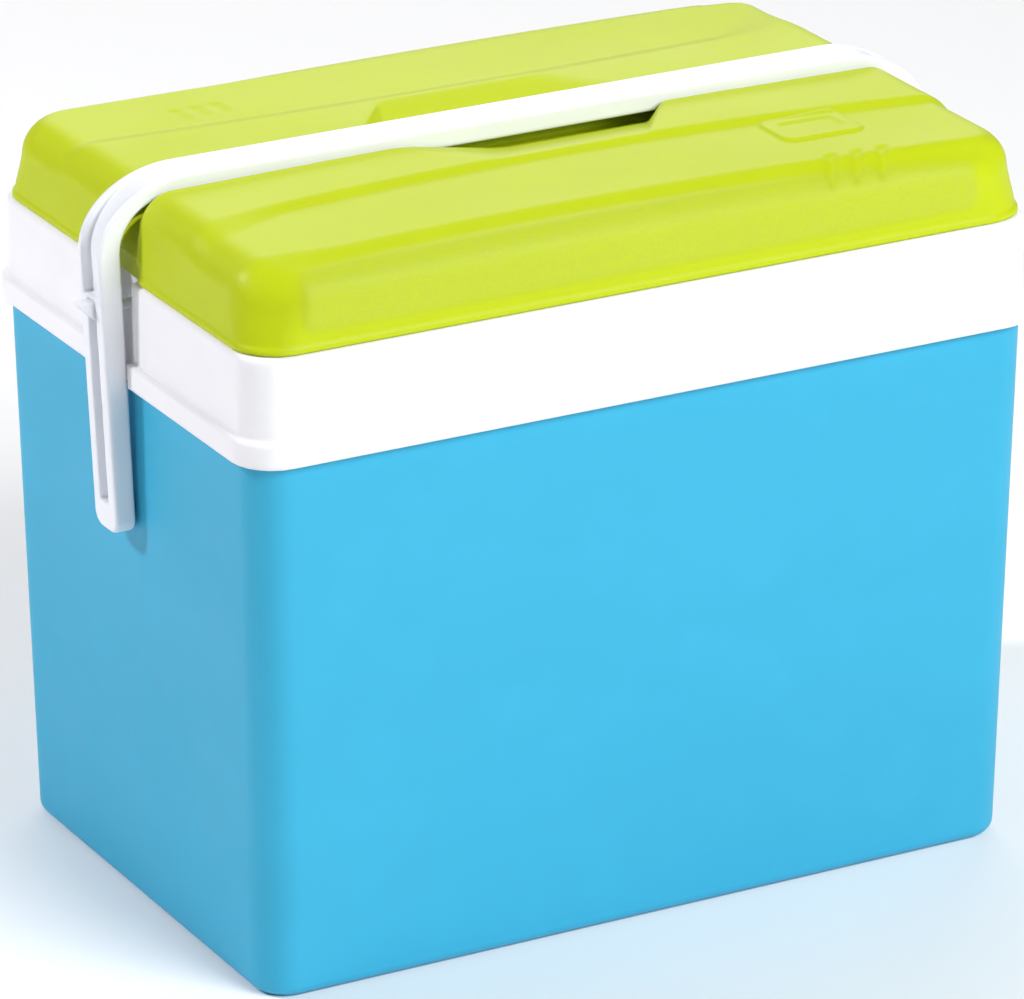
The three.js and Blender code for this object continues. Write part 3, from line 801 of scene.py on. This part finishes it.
def moulded_plastic(name, colour, worn, rough, grain=1400.0,
                    edge_wear=0.5, panel=False, low_scuffs=False, gloss=0.3):
    """Injection-moulded plastic: fine grain, faint flow marks, rubbed edges and scuffs."""
    material = bpy.data.materials.new(name)
    material.use_nodes = True
    tree = material.node_tree
    shader = tree.nodes["Principled BSDF"]
    shader.inputs["IOR"].default_value = 1.49
    shader.inputs["Specular IOR Level"].default_value = gloss
    place = node(tree, "ShaderNodeTexCoord").outputs["Object"]
    flow = noise(tree, place, 9.0, 4.0, 0.6, stretch=(0.6, 0.9, 1.6))
    cloud = noise(tree, place, 34.0, 3.0, 0.5)
    speckle = noise(tree, place, 900.0, 2.0, 0.6)
    edge = node(tree, "ShaderNodeAttribute", attribute_name="edge").outputs["Fac"]
    rubbed = scaled(tree, edge, 0.2, 1.0, 0.0, 1.0)
    chips = scaled(tree, noise(tree, place, 120.0, 5.0, 0.7), 0.48, 0.62, 0.0, 1.0)
    wear = math_node(tree, "MULTIPLY", math_node(tree, "MULTIPLY", rubbed, chips), edge_wear)
    darker = tuple(0.975 * c for c in colour)
    base = mixed(tree, scaled(tree, flow, 0.3, 0.7, 0.0, 1.0), colour, darker)
    brighter = tuple(min(1.0, 1.03 * c + 0.003) for c in colour)
    base = mixed(tree, scaled(tree, cloud, 0.45, 0.75, 0.0, 0.5), base, brighter)
    base = mixed(tree, scaled(tree, speckle, 0.55, 0.8, 0.0, 0.12), base, darker)
    base = mixed(tree, wear, base, worn)
    scratch = noise(tree, place, 60.0, 6.0, 0.75, stretch=(1.0, 1.0, 9.0))
    scuff = scaled(tree, scratch, 0.66, 0.72, 0.0, 1.0)
    if low_scuffs:
        height = node(tree, "ShaderNodeSeparateXYZ")
        tree.links.new(place, height.inputs["Vector"])
        near_floor = scaled(tree, height.outputs["Z"], 0.0, 0.05, 1.0, 0.0)
        scuff_here = math_node(tree, "MULTIPLY", scuff, near_floor)
        base = mixed(tree, math_node(tree, "MULTIPLY", scuff_here, 0.25), base, worn)
    tree.links.new(base, shader.inputs["Base Color"])
    roughness = math_node(tree, "MULTIPLY_ADD", flow, 0.16, rough - 0.08)
    roughness = math_node(tree, "MULTIPLY_ADD", cloud, 0.08, roughness)
    roughness = math_node(tree, "MULTIPLY_ADD", wear, 0.2, roughness)
    if panel:
        mask = node(tree, "ShaderNodeAttribute", attribute_name="panel").outputs["Fac"]
        roughness = math_node(tree, "MULTIPLY_ADD", mask, 0.1, roughness)
    tree.links.new(roughness, shader.inputs["Roughness"])
    height = noise(tree, place, grain, 2.0, 0.5)
    if panel:
        cell = node(tree, "ShaderNodeTexVoronoi", feature="SMOOTH_F1", Scale=620.0,
                    Smoothness=0.4)
        tree.links.new(place, cell.inputs["Vector"])
        leather = math_node(tree, "MULTIPLY", cell.outputs["Distance"], mask)
        fleck = scaled(tree, cell.outputs["Distance"], 0.1, 0.7, 0.75, 0.4)
        dull = tuple(0.8 * c + 0.05 for c in colour)
        base = mixed(tree, math_node(tree, "MULTIPLY", fleck, mask), base, dull)
        tree.links.new(base, shader.inputs["Base Color"])
        height = math_node(tree, "MULTIPLY_ADD", leather, 2.2, height)
        thread = noise(tree, place, 500.0, 1.0, 0.5, stretch=(1.0, 1.0, 0.25))
        height = math_node(tree, "MULTIPLY_ADD",
                           math_node(tree, "MULTIPLY", thread, mask), 2.0, height)
    height = math_node(tree, "MULTIPLY_ADD", scuff, -0.25, height)
    bump = node(tree, "ShaderNodeBump", Strength=0.6, Distance=GRAIN_HEIGHT)
    tree.links.new(height, bump.inputs["Height"])
    tree.links.new(bump.outputs["Normal"], shader.inputs["Normal"])
    return material


def foam_material():
    """Rigid foam: pale cream beads with fine pores between them."""
    material = bpy.data.materials.new("foam")
    material.use_nodes = True
    tree = material.node_tree
    shader = tree.nodes["Principled BSDF"]
    place = node(tree, "ShaderNodeTexCoord").outputs["Object"]
    bead = node(tree, "ShaderNodeTexVoronoi", feature="DISTANCE_TO_EDGE", Scale=260.0)
    tree.links.new(place, bead.inputs["Vector"])
    gap = scaled(tree, bead.outputs["Distance"], 0.0, 0.12, 0.0, 1.0)
    cloud = noise(tree, place, 20.0)
    base = mixed(tree, gap, (0.55, 0.52, 0.42), (0.86, 0.84, 0.74))
    base = mixed(tree, scaled(tree, cloud, 0.4, 0.7, 0.0, 0.35), base, (0.8, 0.76, 0.62))
    tree.links.new(base, shader.inputs["Base Color"])
    tree.links.new(scaled(tree, cloud, 0.3, 0.7, 0.85, 0.97), shader.inputs["Roughness"])
    bump = node(tree, "ShaderNodeBump", Strength=0.7, Distance=0.0004)
    tree.links.new(gap, bump.inputs["Height"])
    tree.links.new(bump.outputs["Normal"], shader.inputs["Normal"])
    return material


BLUE, LIME, WHITE = (0.038, 0.41, 0.64), (0.505, 0.603, 0.006), (0.9, 0.895, 0.92)
BLUE_PLASTIC = moulded_plastic("blue_plastic", BLUE, (0.3, 0.58, 0.75), 0.44,
                               low_scuffs=True)
LIME_PLASTIC = moulded_plastic("lime_plastic", LIME, (0.6, 0.68, 0.12), 0.4, panel=True,
                               gloss=0.2)
COLLAR_PLASTIC = moulded_plastic("collar_plastic", WHITE, (0.8, 0.79, 0.77), 0.4,
                                 edge_wear=0.35)
# The handle's white is darker and bluer than the collar's white: painted shade and painted
# blue bounce light, for the legs that stand in shade beside the blue chest.
HANDLE_WHITE_PAINTED_SHADE = (0.865, 0.885, 0.93)
HANDLE_PLASTIC = moulded_plastic("handle_plastic", HANDLE_WHITE_PAINTED_SHADE, (0.8, 0.79, 0.77), 0.36,
                                 edge_wear=0.35)
LINER_PLASTIC = moulded_plastic("liner_plastic", (0.88, 0.88, 0.9), (0.78, 0.78, 0.76), 0.3,
                                grain=900.0, edge_wear=0.25)
FOAM = foam_material()


# ---------------------------------------------------------------- the pieces

STEPS = {"collar": 1.45, "stud": 0.4, "lid": 1.2, "handle": 0.85}


def fine(step):
    """The grid step in millimetres, as given."""
    return step


def box(half_x, half_y, low, high):
    """The low and the high corner of a box round the Z axis."""
    return (-half_x, -half_y, low), (half_x, half_y, high)


points, faces = outer_shell()
make_piece("shell", points, faces, "chest", BLUE_PLASTIC, ["outer_shell"])
points, faces = inner_liner()
make_piece("liner", points, faces, "chest", LINER_PLASTIC, ["inner_liner"])

points, faces = net(collar_field, *box(*COLLAR["lip"], COLLAR["lip_low"], COLLAR["top"]),
                    fine(STEPS["collar"]))
make_piece("collar_frame", points, faces, "chest", COLLAR_PLASTIC, ["collar"])
for side, label in ((-1, "left"), (1, "right")):
    field = stud_field(side)
    ends = sorted((side * STUD["end"], side * STUD["head_out"]))
    reach, rise = STUD["reach"], STUD["rise"]
    points, faces = net(field, (ends[0], -reach, STUD["z"] - rise),
                        (ends[1], reach, STUD["z"] + rise), fine(STEPS["stud"]))
    make_piece(f"{label}_stud", points, faces, "chest", HANDLE_PLASTIC,
               [f"{label}_pivot_stud"])

points, faces = net(lid_shell_field, *box(*LID["half"], LID["base"], LID["ceiling"]),
                    fine(STEPS["lid"]))
make_piece("lid_top", points, faces, "lid", LIME_PLASTIC, ["lid_shell"],
           {"panel": panel_mask(*points.T)})
points, faces = lid_pan()
make_piece("lid_pan", points, faces, "lid", LINER_PLASTIC, ["lid_liner"])

handle_field = carry_handle_field()
points, faces = net(handle_field,
                    *box(HANDLE["outer_bend"], HANDLE["half"], HANDLE["foot"], HANDLE["top"]),
                    fine(STEPS["handle"]))
make_piece("handle", points, faces, "handle", HANDLE_PLASTIC,
           ["carry_handle"])

for name in ("shell_insulation", "lid_insulation"):
    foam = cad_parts[name]
    foam.data.materials.clear()
    foam.data.materials.append(FOAM)


# ---------------------------------------------------------------- camera, floor and light

CAMERA = {"place": (-1.4675, -2.7105, 1.3839), "azimuth": -28.34, "elevation": 21.66,
          "roll": -0.19, "lens": 254.3, "sensor": 36.0, "shift_x": 0.0087, "shift_y": 0.0}


def add_camera():
    data = bpy.data.cameras.new("camera")
    data.sensor_width = CAMERA["sensor"]
    data.lens = CAMERA["lens"]
    data.shift_x, data.shift_y = CAMERA["shift_x"], CAMERA["shift_y"]
    data.clip_start, data.clip_end = 0.1, 50
    camera = bpy.data.objects.new("camera", data)
    bpy.context.scene.collection.objects.link(camera)
    camera.location = CAMERA["place"]
    turn = Euler((math.radians(90 - CAMERA["elevation"]), 0,
                  math.radians(CAMERA["azimuth"]))).to_matrix()
    roll = Matrix.Rotation(math.radians(CAMERA["roll"]), 3, "Z")
    camera.rotation_euler = (turn @ roll).to_euler()
    bpy.context.scene.camera = camera


def add_light(name, place, aim, size, power, colour=(1, 1, 1)):
    data = bpy.data.lights.new(name, "AREA")
    data.shape, data.size, data.size_y = "RECTANGLE", size[0], size[1]
    data.energy, data.color = power, colour
    light = bpy.data.objects.new(name, data)
    bpy.context.scene.collection.objects.link(light)
    light.location = place
    light.rotation_euler = (Vector(aim) - Vector(place)).to_track_quat("-Z", "Y").to_euler()


def add_floor():
    mesh = bpy.data.meshes.new("floor")
    half = 12.0
    mesh.from_pydata([(-half, -half, 0), (half, -half, 0), (half, half, 0), (-half, half, 0)],
                     [], [(0, 1, 2, 3)])
    floor = bpy.data.objects.new("floor", mesh)
    bpy.context.scene.collection.objects.link(floor)
    material = bpy.data.materials.new("floor")
    material.use_nodes = True
    shader = material.node_tree.nodes["Principled BSDF"]
    shader.inputs["Base Color"].default_value = (0.95, 0.95, 0.95, 1)
    shader.inputs["Roughness"].default_value = 0.9
    shader.inputs["Specular IOR Level"].default_value = 0.1
    mesh.materials.append(material)


def add_world():
    world = bpy.data.worlds.new("studio")
    bpy.context.scene.world = world
    world.use_nodes = True
    background = world.node_tree.nodes["Background"]
    background.inputs["Color"].default_value = (1, 1, 1, 1)
    background.inputs["Strength"].default_value = 0.22


bpy.context.scene.view_settings.view_transform = "Standard"
add_camera()
add_floor()
add_world()
MIDDLE = (0, 0, 0.18)
add_light("front_softbox", (0.85, -2.4, 2.0), MIDDLE, (1.8, 1.4), 92, (0.97, 0.99, 1))
add_light("top_softbox", (0.3, 1.2, 2.3), (0.1, 0.4, 0.1), (1.8, 1.4), 8)
add_light("back_softbox", (1.4, 2.7, 1.35), MIDDLE, (2.4, 1.0), 21)
add_light("left_key", (-1.7, 0.93, 1.65), MIDDLE, (0.25, 0.25), 31.5, (0.98, 0.96, 1))
